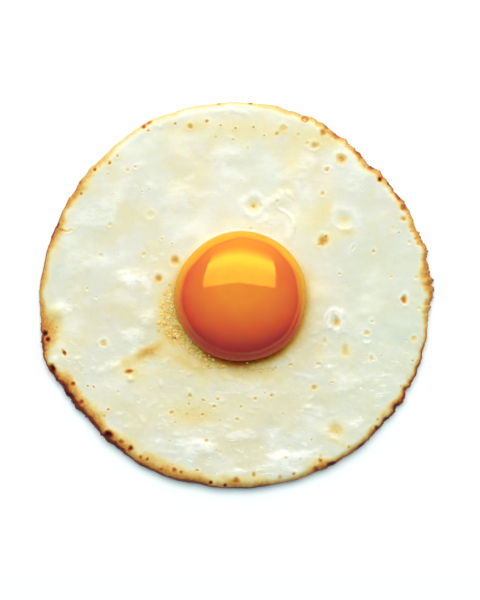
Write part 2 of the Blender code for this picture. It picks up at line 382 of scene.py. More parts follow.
# Soft stains of golden browning: (x, y, half width, half depth, strength, turn).
STAINS = (
    (21.5, 22.0, 6.5, 7.5, 0.09, 0.0),
    (-19.0, -31.0, 26.0, 15.0, 0.05, -30.0),
    (14.0, -28.0, 16.0, 9.0, 0.03, 0.0),
    (-32.5, -22.9, 1.4, 0.5, 0.40, 12.0),
    (-27.0, -17.3, 5.6, 1.8, 0.34, 28.0),
    (-21.6, -6.0, 3.2, 9.0, 0.14, 4.0),
    (-18.9, -12.6, 2.6, 2.4, 0.26, 0.0),
    (-15.0, -20.5, 8.0, 2.6, 0.16, -24.0),
    (-31.0, -24.0, 4.5, 3.2, 0.10, 0.0),
    (2.0, -24.0, 13.0, 2.4, 0.12, 0.0),
    (33.5, 18.6, 4.2, 1.9, 0.13, -6.0),
    (27.0, 27.0, 3.0, 6.0, 0.09, -14.0),
    (25.5, 46.6, 6.0, 3.0, 0.13, -22.0),
    (17.0, 40.5, 2.6, 5.0, 0.10, -14.0),
    (3.0, 50.0, 15.0, 5.0, 0.12, 0.0),
    (-14.0, 50.6, 5.5, 2.4, 0.11, 12.0),
    (-17.6, 43.0, 1.0, 5.0, 0.07, 6.0),
    (30.0, -40.5, 4.0, 3.0, 0.13, 0.0),
    (23.4, -27.6, 2.6, 2.0, 0.06, 0.0),
    (33.0, -17.0, 2.6, 3.0, 0.11, 0.0),
    (24.8, -16.5, 1.6, 2.6, 0.12, 0.0),
    (-10.0, -34.0, 16.0, 5.0, 0.05, 0.0),
    (-13.0, -36.5, 7.0, 3.0, 0.08, 0.0),
    (-49.5, 30.6, 3.6, 3.0, 0.16, 50.0),
    (-41.0, 39.0, 4.0, 2.4, 0.07, 45.0),
    (-54.6, 17.0, 2.0, 7.0, 0.12, 0.0),
    (-55.0, -8.6, 3.4, 4.4, 0.20, 0.0),
    (-26.0, 24.4, 2.2, 2.0, 0.06, 0.0),
    (-23.0, 14.0, 3.0, 4.0, 0.05, 30.0),
    (26.2, 16.2, 2.6, 1.6, 0.12, 30.0),
    (46.0, -15.0, 2.2, 2.4, 0.06, 0.0),
    (40.0, -46.0, 4.0, 2.0, 0.12, 40.0),
    (-33.0, -44.5, 4.5, 2.2, 0.18, -34.0),
    (-20.0, -52.5, 6.0, 1.8, 0.14, -14.0),
    (24.5, -51.0, 5.0, 2.0, 0.20, 22.0),
    (0.0, -56.0, 8.0, 1.8, 0.16, 0.0),
    (-10.5, 12.0, 60.0, 60.0, 0.012, 0.0),
)

# Thin raised folds of the skin: (x, y, radius, first degrees, last degrees, width, height).
FOLDS = (
    (11.8, 20.6, 5.4, -25.0, 88.0, 0.42, 0.26),
    (15.0, 35.6, 5.0, 235.0, 300.0, 0.50, 0.22),
    (21.5, 28.5, 4.6, 120.0, 175.0, 0.45, 0.18),
    (5.1, 27.0, 2.9, 180.0, 350.0, 0.35, 0.18),
    (32.6, 22.6, 2.8, 215.0, 330.0, 0.34, 0.16),
    (29.6, -7.6, 3.1, 20.0, 200.0, 0.40, 0.22),
    (39.4, -13.2, 1.2, 190.0, 350.0, 0.36, 0.16),
    (-4.0, 40.0, 16.0, 60.0, 105.0, 0.80, 0.16),
)

# Edge of the white: degrees, golden strength and reach, dark strength and reach, roughness.
EDGE_STATIONS = (
    (0.0, 0.53, 3.4, 0.20, 0.5, 1.0),
    (8.0, 0.52, 3.3, 0.22, 0.5, 0.9),
    (14.0, 0.49, 2.2, 0.25, 0.4, 0.9),
    (25.0, 0.43, 2.0, 0.15, 0.4, 0.6),
    (35.0, 0.44, 1.8, 0.35, 0.5, 0.5),
    (45.0, 0.41, 1.8, 0.20, 0.4, 0.6),
    (55.0, 0.40, 1.9, 0.20, 0.4, 0.62),
    (66.0, 0.36, 2.0, 0.20, 0.4, 0.6),
    (75.0, 0.30, 1.6, 0.20, 0.4, 0.5),
    (85.0, 0.20, 1.1, 0.00, 0.4, 0.3),
    (105.0, 0.20, 1.1, 0.00, 0.4, 0.3),
    (120.0, 0.24, 1.6, 0.05, 0.4, 0.3),
    (127.0, 0.24, 1.4, 0.00, 0.4, 0.3),
    (135.0, 0.30, 2.2, 0.00, 0.4, 0.4),
    (147.0, 0.40, 2.6, 0.05, 0.4, 0.5),
    (158.5, 0.44, 2.6, 0.50, 0.7, 0.4),
    (170.0, 0.42, 1.5, 0.42, 0.5, 0.2),
    (180.0, 0.41, 2.4, 0.15, 0.4, 0.2),
    (187.0, 0.46, 3.9, 0.15, 0.6, 0.5),
    (193.0, 0.50, 3.4, 0.66, 1.0, 0.8),
    (200.0, 0.50, 2.6, 0.50, 0.9, 0.5),
    (210.0, 0.50, 4.6, 0.72, 1.6, 0.7),
    (220.0, 0.49, 4.2, 0.66, 1.3, 0.7),
    (230.0, 0.46, 4.6, 0.76, 1.5, 0.5),
    (242.0, 0.43, 3.6, 0.66, 1.1, 0.3),
    (250.0, 0.42, 3.0, 0.64, 0.9, 0.2),
    (262.0, 0.44, 2.7, 0.64, 1.0, 0.2),
    (277.0, 0.41, 2.2, 0.58, 0.8, 0.2),
    (290.0, 0.40, 1.5, 0.18, 0.5, 0.2),
    (296.0, 0.42, 1.9, 0.50, 0.8, 0.4),
    (301.0, 0.42, 1.7, 0.52, 0.9, 0.4),
    (311.0, 0.42, 1.6, 0.40, 0.7, 0.4),
    (321.0, 0.48, 2.7, 0.80, 1.2, 0.7),
    (327.0, 0.54, 2.3, 0.44, 1.1, 1.0),
    (336.0, 0.46, 1.6, 0.58, 0.8, 0.5),
    (345.0, 0.42, 1.3, 0.50, 0.6, 0.4),
    (352.0, 0.38, 1.4, 0.15, 0.5, 0.6),
)

# Beside the yolk: degrees, strength and reach of the yolk's painted glow, then of the painted shade
# that is browned in.
GLOW_STATIONS = (
    (0.0, 0.95, 1.8, 0.06, 1.0),
    (30.0, 0.75, 1.2, 0.03, 0.6),
    (60.0, 0.30, 0.7, 0.0, 0.6),
    (95.0, 0.25, 0.6, 0.0, 0.6),
    (130.0, 0.35, 0.7, 0.05, 0.6),
    (155.0, 0.85, 1.3, 0.08, 1.2),
    (180.0, 0.95, 2.4, 0.06, 1.8),
    (205.0, 1.0, 4.6, 0.12, 2.2),
    (225.0, 0.92, 4.6, 0.30, 2.6),
    (245.0, 0.80, 3.2, 0.60, 2.3),
    (270.0, 0.76, 2.4, 0.72, 2.2),
    (300.0, 0.86, 2.4, 0.62, 2.0),
    (325.0, 0.96, 2.8, 0.30, 1.6),
    (345.0, 0.95, 1.9, 0.12, 1.1),
)

gold_strength, gold_reach, dark_strength, dark_reach, edge_roughness = round_table(EDGE_STATIONS)
glow_strength, glow_reach, shade_strength, shade_reach = round_table(GLOW_STATIONS)
white_outline = outline_of("egg_white", 180, 64)
yolk_outline = outline_of("yolk", 72, 12)

FINE_NOISE = Noise(11)
BROAD_NOISE = Noise(23)
BROWN_NOISE = Noise(37)


def add_seeded_pits():
    """Small pits too many to place one by one, most of them towards the rim and the bottom."""
    rng = np.random.default_rng(PIT_SEED)
    for _ in range(PIT_DRAWS):
        angle = rng.uniform(0.0, TURN)
        share = 1.0 - 0.75 * rng.uniform(0.0, 1.0) ** 1.6
        reach = white_outline(angle)
        radius = SCATTER_INNER + (reach - (SCATTER_INNER + SCATTER_RIM_GAP)) * share
        x, y = AXIS + radius * np.array((math.cos(angle), math.sin(angle)))
        if y > 15.0 and rng.uniform() < 0.45:
            continue
        size = rng.uniform(0.3, 0.75)
        PITS.append(pit(x, y, size, depth=0.3 * size, lip=0.03, core=rng.uniform(0.08, 0.3)))


def seeded_pimples():
    """Small raised blisters of the lower half: x, y, half width, half depth, height, turn."""
    rng = np.random.default_rng(PIMPLE_SEED)
    rows = []
    while len(rows) < PIMPLE_COUNT:
        angle = rng.uniform(math.pi, TURN) if rng.uniform() < 0.86 else rng.uniform(0.0, math.pi)
        reach = white_outline(angle) - 3.0
        radius = math.sqrt(rng.uniform(SCATTER_INNER**2, reach**2))
        x, y = AXIS + radius * np.array((math.cos(angle), math.sin(angle)))
        size = 0.2 + 0.55 * rng.uniform() ** 2
        stretch = rng.uniform(1.0, 3.0)
        height = size * rng.uniform(0.10, 0.36)
        if x > 30.0:
            height *= 0.4
        rows.append((x, y, size * stretch, size, height, rng.normal(0.0, 24.0)))
    return rows


add_seeded_pits()
PIMPLES = seeded_pimples()


# ---------------------------------------------------------------- the white's surface


def edge_detail(angle):
    """Small unevenness of the rim: crisp where the white is fried hard, smooth elsewhere."""
    ring = heading(angle) * white_outline(angle)[:, None]
    rough = edge_roughness(angle)
    wave = (0.05 + 0.10 * rough) * BROAD_NOISE.at(ring, 7.0, 2)
    crumbs = 0.75 * FINE_NOISE.at(ring, 1.7, 3)
    return wave + rough**1.5 * crumbs


def rim_radius(angle):
    """How far the white's rim is from the yolk's axis."""
    return white_outline(angle) - 0.25 + edge_detail(angle)


def ellipse_distance(points, x, y, wide, tall, turn):
    """Distance of points from a centre, 1 on an ellipse of that half width and half height."""
    angle = math.radians(turn)
    right = points[:, 0] - x
    up = points[:, 1] - y
    along = right * math.cos(angle) + up * math.sin(angle)
    over = up * math.cos(angle) - right * math.sin(angle)
    return np.hypot(along / wide, over / tall)


def near(points, x, y, reach):
    """Indices of the points within reach of a place."""
    return np.flatnonzero(np.abs(points[:, 0] - x) + np.abs(points[:, 1] - y) < 1.5 * reach)


def plain_top(points):
    """Height of the white's top without pits, and each point's distance from the rim."""
    angle, radius = polar(points)
    lip = yolk_outline(angle)
    rim = rim_radius(angle)
    across = np.clip((radius - lip) / (rim - lip), 0.0, 1.0)
    outer = OUTER_HEIGHT + LOW_SIDE_RISE * ramp(-points[:, 1], 0.0, 45.0)
    height = outer + (LIP_HEIGHT - outer) * (1.0 - across) ** SLOPE_POWER
    flat = flattened(points)
    calm = ramp(across, 0.0, 0.12)
    lower = ramp(-points[:, 1], -12.0, 14.0)
    height += calm * 0.30 * BROAD_NOISE.at(flat, 17.0, 2)
    height += calm * (0.05 + 0.05 * lower) * FINE_NOISE.at(flat, 5.0, 2)
    height += calm * 0.035 * lower * FINE_NOISE.at(flat + 40.0, 1.7, 2)
    from_rim = rim - radius
    bend = 1.0 - np.clip(from_rim / RIM_WIDTH, 0.0, 1.0)
    tip = rim_tip(angle)
    return tip + (height - tip) * np.sqrt(np.clip(1.0 - bend * bend, 0.0, 1.0)), from_rim


def rim_tip(angle):
    """Height of the rim's outermost line."""
    return RIM_TIP_HEIGHT + 0.35 * BROAD_NOISE.at(heading(angle, 1.0) * 60.0, 11.0, 2)


def white_top(points):
    """Height of the white's top and its looks at points."""
    height, from_rim = plain_top(points)
    flat = flattened(points)
    looks = {name: np.zeros(len(points)) for name in ("brown", "green", "painted_sheen")}
    edges = 1.0 + 0.20 * FINE_NOISE.at(flat + 7.0, 3.4, 3)
    add_swellings(points, flat, height, looks["painted_sheen"])
    add_pits(points, flat, height, looks)
    add_folds(points, flat, height, looks["painted_sheen"])
    add_stains(points, edges, looks["brown"])
    dress_lip(points, edges, height, looks)
    brown_rim(points, flat, from_rim, height, looks)
    thin_and_glints(points, flat, looks)
    return height, looks


def add_swellings(points, flat, height, painted_sheen):
    """Raise the broad swellings and the pimples, with a painted sheen on them that is stronger the
    higher they rise and fainter in the upper half.
    """
    torn = FINE_NOISE.at(flat * np.array((0.5, 1.0, 1.0)), 2.2, 4)
    for x, y, wide, tall, rise, turn in SWELLINGS + tuple(PIMPLES):
        at = near(points, x, y, 2.6 * max(wide, tall))
        away = ellipse_distance(points[at], x, y, wide, tall, turn)
        height[at] += rise * hump(away, 0.0, 1.0)
        # Painted sheen on the swelling, broken up by noise and fainter in the upper half.
        broken = away * (1.0 + 0.6 * torn[at])
        sheen_patch = ramp(hump(broken, 0.0, 1.0), 0.1, 0.8) * min(1.0 if y < 10.0 else 0.5, rise / 0.38)
        painted_sheen[at] = np.maximum(painted_sheen[at], sheen_patch)


def add_pits(points, flat, height, looks):
    """Sink the burst bubbles, with a raised lip, a painted highlight round it and a browned core."""
    brown, green, painted_sheen = looks["brown"], looks["green"], looks["painted_sheen"]
    for row in PITS:
        x, y, radius, tall = row["x"], row["y"], row["radius"], row["tall"]
        at = near(points, x, y, 4.0 * radius * max(1.0, tall))
        place = points[at]
        away = ellipse_distance(place, x, y, radius, radius * tall, row["turn"])
        away = away * (1.0 + 0.24 * FINE_NOISE.at(flat[at], radius * 1.3, 2))
        height[at] -= 0.7 * row["depth"] * (1.0 - ramp(away, 0.10, 1.15))
        height[at] += 0.7 * row["lip"] * (hump(away, 1.35, 0.45) + 0.4 * hump(away, 0.0, 2.4))
        spot = row["core"] * (1.0 - ramp(away, 0.15, 1.35))
        spot = np.maximum(spot, row["ring"] * hump(away, 0.85, 0.38))
        below = ramp(y - place[:, 1], 0.2, radius * 1.5)
        spot = np.maximum(spot, row["arc"] * hump(away, 1.75, 0.5) * below)
        brown[at] = np.maximum(brown[at], spot)
        green[at] = np.maximum(green[at], row["green"] * (1.0 - ramp(away, 0.75, 1.25)))
        # Painted highlight: a pale ring just outside the pit's lip.
        painted_sheen[at] = np.maximum(painted_sheen[at], 2.0 * row["lip"] * hump(away, 1.45, 0.5))


def add_folds(points, flat, height, painted_sheen):
    """Raise the thin folds of the skin, which fade towards their ends, and paint a highlight along
    them.
    """
    for x, y, reach, first, last, width, rise in FOLDS:
        at = near(points, x, y, 1.6 * reach)
        right, up = points[at, 0] - x, points[at, 1] - y
        share = (np.degrees(np.arctan2(up, right)) - first) % 360.0 / (last - first)
        fade = np.sin(np.pi * np.clip(share, 0.0, 1.0)) ** 0.6
        off = np.hypot(right, up) - reach * (1.0 + 0.05 * FINE_NOISE.at(flat[at], 3.0, 2))
        fold = fade * hump(off, 0.0, width)
        height[at] += 1.3 * rise * fold
        # Painted highlight along the fold.
        painted_sheen[at] = np.maximum(painted_sheen[at], 0.9 * fold)


def add_stains(points, edges, brown):
    """Brown the soft stains."""
    for x, y, wide, tall, strength, turn in STAINS:
        at = near(points, x, y, 2.2 * max(wide, tall))
        away = ellipse_distance(points[at], x, y, wide, tall, turn) * edges[at]
        brown[at] = 1.0 - (1.0 - brown[at]) * (1.0 - strength * hump(away, 0.0, 1.0))


def dress_lip(points, edges, height, looks):
    """Raise the lip round the yolk, paint a highlight along its upper side, and give it the yolk's
    painted glow and painted shade, browned in, darkest below the yolk.
    """
    angle, radius = polar(points)
    from_yolk = np.clip(radius - yolk_outline(angle), 0.0, None)
    upper = ramp(points[:, 1] - AXIS[1], -12.0, 6.0)
    height += (0.6 + 0.3 * upper) * hump(from_yolk, 0.15, 0.5)
    # Painted highlight: a pale line just beyond the lip on its upper side.
    looks["painted_sheen"] = np.maximum(looks["painted_sheen"], 0.9 * upper * hump(from_yolk, 0.45, 0.3))
    # Painted light: the yolk's glow on the white beside it, a little more close in on the lower side.
    glow = glow_strength(angle) * np.exp(-from_yolk / glow_reach(angle))
    looks["glow"] = np.clip(glow + 0.2 * (1.0 - upper) * hump(from_yolk, 0.0, 0.4), 0.0, 1.0)
    # Painted shade beside the yolk, darkest below it, added to the browning.
    shade = shade_strength(angle) * hump(from_yolk * edges, 0.0, shade_reach(angle))
    looks["brown"] = 1.0 - (1.0 - looks["brown"]) * (1.0 - shade)


def brown_rim(points, flat, from_rim, height, looks):
    """Brown the rim in golden and dark patches, and roughen its crust."""
    angle, radius = polar(points)
    around = heading(angle) * radius[:, None]
    patchy = 1.0 + 0.40 * BROWN_NOISE.at(around, 6.5, 3) + 0.15 * FINE_NOISE.at(around, 1.6, 2)
    inside = np.clip(from_rim, 0.0, None)
    gold = gold_strength(angle) * np.exp(-((inside / (gold_reach(angle) * patchy)) ** 3))
    line = 0.42 * hump(inside, 0.0, 0.30)
    dark = dark_strength(angle) * hump(inside**2, 0.0, (dark_reach(angle) * patchy) ** 2)
    edge = np.maximum(gold, line)
    edge = edge + (1.0 - edge) * dark
    looks["brown"] = 1.0 - (1.0 - looks["brown"]) * (1.0 - np.clip(edge, 0.0, 1.0))
    crust = ramp(looks["brown"], 0.3, 0.9) * ramp(RIM_WIDTH - inside, 0.0, RIM_WIDTH)
    height += 0.10 * crust * FINE_NOISE.at(flat * 1.3, 0.9, 2)


def thin_and_glints(points, flat, looks):
    """Where the white is thin and greenish, and where it gets small painted glints."""
    thin = 0.5 + 0.5 * BROAD_NOISE.at(flat + 90.0, 16.0, 2)
    thin = ramp(thin, 0.35, 1.0) * 0.55 + 0.45 * ramp(points[:, 0] - 0.6 * points[:, 1], 20.0, 60.0)
    looks["green"] = np.maximum(looks["green"], thin * 0.8)
    # Painted glints: clusters over the lower half, kept off the browning.
    clusters = ramp(BROAD_NOISE.at(flat + 60.0, 8.0, 3), -0.3, 0.6)
    bare = 1.0 - ramp(looks["brown"], 0.1, 0.4)
    looks["painted_glints"] = ramp(-points[:, 1], 2.0, 26.0) * (0.12 + 0.88 * clusters) * bare


def ring_of(radii, steps, offset=0.0):
    """Points in plan at a radius, one number or one for each step, round the yolk's axis."""
    angle = (np.arange(steps) + offset) * TURN / steps
    return AXIS + np.column_stack((np.cos(angle), np.sin(angle))) * np.reshape(radii, (-1, 1))


def angles_of(steps):
    """The directions of a ring's points."""
    return np.arange(steps) * TURN / steps


def hexagonal_points(pitch):
    """Evenly spread points over a square that holds the white."""
    half = WHITE_HIGH[:2].max() + 4.0
    rows = np.arange(-half, half, pitch * math.sqrt(3.0) / 2.0)
    columns = np.arange(-half, half, pitch)
    x, y = np.meshgrid(columns, rows)
    x = x + np.where(np.arange(len(rows)) % 2, pitch / 2.0, 0.0)[:, None]
    return np.column_stack((x.ravel(), y.ravel()))


def pit_points():
    """Rings of points round each pit."""
    made = []
    for row in PITS:
        for share in PIT_RINGS:
            wide = row["radius"] * share
            tall = wide * row["tall"]
            steps = max(7, round(TURN * wide / PIT_PITCH))
            angle = (np.arange(steps) + 3.0 * share) * TURN / steps
            turn = math.radians(row["turn"])
            along, over = wide * np.cos(angle), tall * np.sin(angle)
            x = row["x"] + along * math.cos(turn) - over * math.sin(turn)
            y = row["y"] + along * math.sin(turn) + over * math.cos(turn)
            made.append(np.column_stack((x, y)))
    return np.concatenate(made)


def spaced(points, taken, spacing):
    """The points that keep a spacing from those taken and from the ones before them."""
    used = set(map(tuple, np.floor(taken / spacing).astype(int)))
    keep = []
    for index, cell in enumerate(map(tuple, np.floor(points / spacing).astype(int))):
        if cell not in used:
            used.add(cell)
            keep.append(index)
    return points[keep]


def top_plan():
    """Points in plan of the white's top between the lip and the rim's first ring."""
    rim_angles = angles_of(RIM_STEPS)
    rim_ring = ring_of(rim_radius(rim_angles) - RIM_RINGS[0], RIM_STEPS)
    lip_angles = angles_of(LIP_STEPS)
    lip = yolk_outline(lip_angles) - LIP_OVERLAP
    lip_rings = [ring_of(lip + out, LIP_STEPS, 0.5 * (k % 2)) for k, out in enumerate(LIP_RINGS)]
    fixed = np.concatenate([rim_ring] + lip_rings)
    pits = inside_top(spaced(pit_points(), fixed, LEAST_SPACING), 0.25)
    fine = hexagonal_points(FINE_PITCH)
    fine = fine[fine_region(fine)]
    coarse = hexagonal_points(COARSE_PITCH)
    coarse = coarse[~fine_region(coarse)]
    spread = inside_top(np.concatenate((fine, coarse)), 0.4)
    for row in PITS:
        reach = 2.1 * row["radius"]
        away = ellipse_distance(spread, row["x"], row["y"], reach, reach * row["tall"], row["turn"])
        spread = spread[away > 1.0]
    return np.concatenate((fixed, pits, spread)), len(rim_ring), len(lip_rings[0])


def fine_region(points):
    """Where the white is bubbled finely: its lower half, beside the yolk and near the rim."""
    angle, radius = polar(points)
    low = points[:, 1] < 3.0 - 0.35 * np.abs(points[:, 0])
    return low | (radius < 25.0) | (rim_radius(angle) - radius < 6.0)


def inside_top(points, margin):
    """The points between the lip's outer ring and the rim's first ring."""
    angle, radius = polar(points)
    beyond_lip = radius > yolk_outline(angle) + LIP_RINGS[-1] - LIP_OVERLAP + margin
    return points[beyond_lip & (radius < rim_radius(angle) - RIM_RINGS[0] - margin)]


def triangles(points):
    """Delaunay triangles over points in plan, wound to face up."""
    made = delaunay_2d_cdt([Vector(point) for point in points], [], [], 0, 1e-6, True)
    order = [source[0] for source in made[3]]
    faces = np.array([[order[corner] for corner in face] for face in made[2]])
    a, b, c = (points[faces[:, k]] for k in range(3))
    turn = (b[:, 0] - a[:, 0]) * (c[:, 1] - a[:, 1]) - (b[:, 1] - a[:, 1]) * (c[:, 0] - a[:, 0])
    faces[turn < 0.0] = faces[turn < 0.0][:, ::-1]
    return faces


def bridge(first, second):
    """Quads between two rings of the same number of vertices."""
    return np.column_stack((first, np.roll(first, -1), np.roll(second, -1), second))


def white_mesh():
    """Vertices, triangles, quads and looks of the whole white."""
    plan, rim_count, lip_count = top_plan()
    height, looks = white_top(plan)
    faces = triangles(plan)
    middle = plan[faces].mean(axis=1)
    angle, radius = polar(middle)
    on_rim = (faces < rim_count).all(axis=1)
    in_socket = radius < yolk_outline(angle) - LIP_OVERLAP - 0.02
    beyond = on_rim & (radius > rim_radius(angle) - RIM_RINGS[0])
    faces = faces[~(in_socket | beyond)]
    vertices = [np.column_stack((plan, height))]
    colours = {name: [values] for name, values in looks.items()}
    total = len(plan)
    quads = []

    def add(points, extra):
        nonlocal total
        vertices.append(points)
        for name in colours:
            colours[name].append(extra[name])
        index = np.arange(total, total + len(points))
        total += len(points)
        return index

    rim_angles = angles_of(RIM_STEPS)
    rim = rim_radius(rim_angles)
    ring = np.arange(rim_count)
    for inward in RIM_RINGS[1:]:
        place = ring_of(rim - inward, RIM_STEPS)
        rise, extra = white_top(place)
        new = add(np.column_stack((place, rise)), extra)
        quads.append(bridge(new, ring))
        ring = new
    tip = rim_tip(rim_angles)
    for inward in CURL_RINGS:
        place = ring_of(rim - inward, RIM_STEPS)
        rise = np.clip(tip * (1.0 - inward / CURL_WIDTH) ** 1.6, 0.0, None)
        new = add(np.column_stack((place, rise)), under_looks(place))
        quads.append(bridge(new, ring))
        ring = new
    under = underside_plan()
    below = under_relief(under)
    under_faces = triangles(np.concatenate((vertices[-1][:, :2], under)))
    numbers = np.concatenate((ring, add(np.column_stack((under, below)), under_looks(under))))
    middle = np.concatenate((vertices[-2][:, :2], under))[under_faces].mean(axis=1)
    angle, radius = polar(middle)
    beyond = (under_faces < RIM_STEPS).all(axis=1) & (radius > rim_radius(angle) - CURL_WIDTH)
    under_triangles = numbers[under_faces[~beyond]][:, ::-1]
    ring = np.arange(rim_count, rim_count + lip_count)
    lip = yolk_outline(angles_of(LIP_STEPS)) - LIP_OVERLAP
    for share in SOCKET_RINGS:
        place = ring_of(lip * share, LIP_STEPS)
        drop = SOCKET_FLOOR + (LIP_HEIGHT - SOCKET_FLOOR) * share**6
        new = add(np.column_stack((place, np.full(LIP_STEPS, drop))), under_looks(place))
        quads.append(bridge(new, ring)[:, ::-1])
        ring = new
    centre = add(np.array([[*AXIS, SOCKET_FLOOR]]), under_looks(AXIS[None, :]))[0]
    fan = np.column_stack((ring, np.roll(ring, -1), np.full(LIP_STEPS, centre)))
    return (
        np.concatenate(vertices),
        np.concatenate((faces, under_triangles, fan)),
        np.concatenate(quads),
        {name: np.concatenate(parts) for name, parts in colours.items()},
    )


def underside_plan():
    """Points in plan inside the rim's curl, where the underside lies flat."""
    spread = hexagonal_points(UNDER_PITCH)
    angle, radius = polar(spread)
    return spread[radius < rim_radius(angle) - CURL_WIDTH - 0.5]


def under_relief(points):
    """Height of the underside: it lies on its surface but for the dimples that steam left."""
    flat = flattened(points)
    angle, radius = polar(points)
    dimples = ramp(BROWN_NOISE.at(flat, 6.0, 2), 0.25, 0.9) * 0.30
    fine = 0.06 * ramp(FINE_NOISE.at(flat, 2.2, 2), 0.0, 1.0)
    return (dimples + fine) * ramp(rim_radius(angle) - CURL_WIDTH - radius, 0.0, 4.0)


def under_looks(points):
    """Looks of the underside: golden brown in patches, darker towards the rim."""
    flat = flattened(points)
    angle, radius = polar(points)
    inward = np.clip(rim_radius(angle) - radius, 0.0, None)
    patches = ramp(BROWN_NOISE.at(flat, 13.0, 3), -0.7, 0.9)
    brown = 0.10 + 0.42 * patches + 0.35 * dark_strength(angle) * hump(inward, 0.0, 3.0)
    brown = np.maximum(brown, 0.5 * gold_strength(angle) * hump(inward, 0.0, 2.2))
    none = np.zeros(len(points))
    brown = np.clip(brown, 0.0, 1.0)
    return {"brown": brown, "green": none, "painted_sheen": none, "glow": none, "painted_glints": none}


# ---------------------------------------------------------------- making objects


def make_object(name, vertices, faces, looks=None):
    """A smooth mesh object from vertices in millimetres and lists of faces."""
    mesh = bpy.data.meshes.new(name)
    mesh.from_pydata((np.asarray(vertices) * MM).tolist(), [], faces)
    mesh.validate()
    for look, values in (looks or {}).items():
        attribute = mesh.attributes.new(look, "FLOAT", "POINT")
        attribute.data.foreach_set("value", np.asarray(values, np.float32))
    mesh.shade_smooth()
    made = bpy.data.objects.new(name, mesh)
    bpy.context.scene.collection.objects.link(made)
    return made


def build_white():
    """The cooked white with its pits, blisters, rim and underside."""
    vertices, three, four, looks = white_mesh()
    return make_object("egg_white_body", vertices, three.tolist() + four.tolist(), looks)


def build_yolk():
    """The yolk: a low dome with a steeper flank, whose skin is finely wrinkled."""
    top = YOLK_HIGH[2]
    bottom = YOLK_LOW[2]
    angle = angles_of(YOLK_STEPS)
    edge = yolk_outline(angle)
    around = np.column_stack((np.cos(angle), np.sin(angle)))
    vertices = [np.array([[*AXIS, top]])]
    flank = [np.zeros(1)]
    rings = []
    turns = [1.0 - k / YOLK_DOME_RINGS for k in range(1, YOLK_DOME_RINGS + 1)]
    turns += [-k / YOLK_BASE_RINGS for k in range(1, YOLK_BASE_RINGS)]
    for turn in turns:
        quarter = abs(turn) * math.pi / 2.0
        fullness = YOLK_DOME_FULLNESS if turn >= 0.0 else YOLK_BASE_FULLNESS
        reach = top - YOLK_WIDEST if turn >= 0.0 else bottom - YOLK_WIDEST
        share = math.cos(quarter) ** (2.0 / fullness)
        height = YOLK_WIDEST + reach * math.sin(quarter) ** (2.0 / fullness)
        place = AXIS + around * (edge * share)[:, None]
        ring = np.column_stack((place, np.full(YOLK_STEPS, height)))
        crease = 0.04 * hump(share, 0.875, 0.03) if turn > 0.0 else 0.0
        ripple = wrinkle(angle, share) if turn > 0.0 else np.zeros(YOLK_STEPS)
        ring[:, 2] += ripple - crease
        rings.append(np.arange(YOLK_STEPS) + 1 + len(rings) * YOLK_STEPS)
        vertices.append(ring)
        waver = 0.012 * np.sin(3.0 * angle + 1.0) + 0.006 * np.sin(11.0 * angle)
        flank.append(ramp(share + waver, *FLANK_SHARES) if turn > 0.0 else np.ones(YOLK_STEPS))
    vertices.append(np.array([[*AXIS, bottom]]))
    flank.append(np.ones(1))
    first, last = rings[0], rings[-1]
    faces = [[0, b, a] for a, b in zip(np.roll(first, -1), first)]
    end = 1 + len(rings) * YOLK_STEPS
    faces += [[end, b, a] for b, a in zip(np.roll(last, -1), last)]
    for upper, lower in zip(rings, rings[1:]):
        faces += bridge(upper, lower)[:, ::-1].tolist()
    vertices = np.concatenate(vertices)
    flank = np.concatenate(flank)
    return make_object("yolk_dome", vertices, faces, yolk_looks(vertices, flank))


def yolk_looks(vertices, flank):
    """How orange to red and how golden the yolk is, with painted shade reddening it low on the near
    side and painted light gilding its upper flank and top.
    """
    angle, radius = polar(vertices)
    share = radius / yolk_outline(angle)
    right, up = share * np.cos(angle), share * np.sin(angle)
    # Painted shade: the colour reddens faster down the near side, away from the light.
    shade_fall = np.where(up < 0.1, 1.0, 0.3) * (up - 0.1)
    deep_and_shade = np.clip((np.hypot(0.62 * right, shade_fall) - 0.2) / 0.62, 0.0, 1.0)
    outer = ramp(share, 0.90, 0.99)
    # Painted light: the flank's reddening is cut, most at its outer edge and on the right.
    deep_and_shade = deep_and_shade * (1.0 - flank * (0.36 * outer + 0.14 * ramp(right, -0.1, 0.8)))
    around = np.column_stack((40.0 * share, 1.6 * np.cos(angle), 1.6 * np.sin(angle)))
    streaks = flank * ramp(right, -0.7, 0.8) * FINE_NOISE.at(around, 1.0, 2)
    # Painted shade: a darker, less golden line where the flank begins, but for low on the near side.
    seam_shade = hump(flank, 0.28, 0.26) * ramp(up, -0.5, 0.2)
    deep_and_shade = deep_and_shade + 0.15 * seam_shade
    # The gold is the flank's paler tone plus painted light: most on the upper flank, over the top of
    # the dome, and in streaks along the wrinkles on the right.
    least = 0.60 + 0.30 * ramp(up, 0.2, 0.8)
    gold = flank * ramp(up, -0.95, 0.50) * (least + (1.0 - least) * outer) + 0.34 * streaks
    gold = np.maximum(gold, 0.40 * ramp(up, 0.35, 0.95)) * (1.0 - 0.5 * seam_shade)
    gold = np.clip(gold, 0.0, 1.0)
    return {"flank": flank, "deep_and_shade": deep_and_shade, "gold": gold}


def wrinkle(angle, share):
    """Fine wrinkles of the skin, round the flank and mostly on the right."""
    side = 0.08 + 0.6 * hump((angle + math.pi) % TURN - math.pi, 0.35, 0.9)
    rings = math.sin(share * 260.0) * hump(share, 0.92, 0.05)
    return 0.028 * side * rings


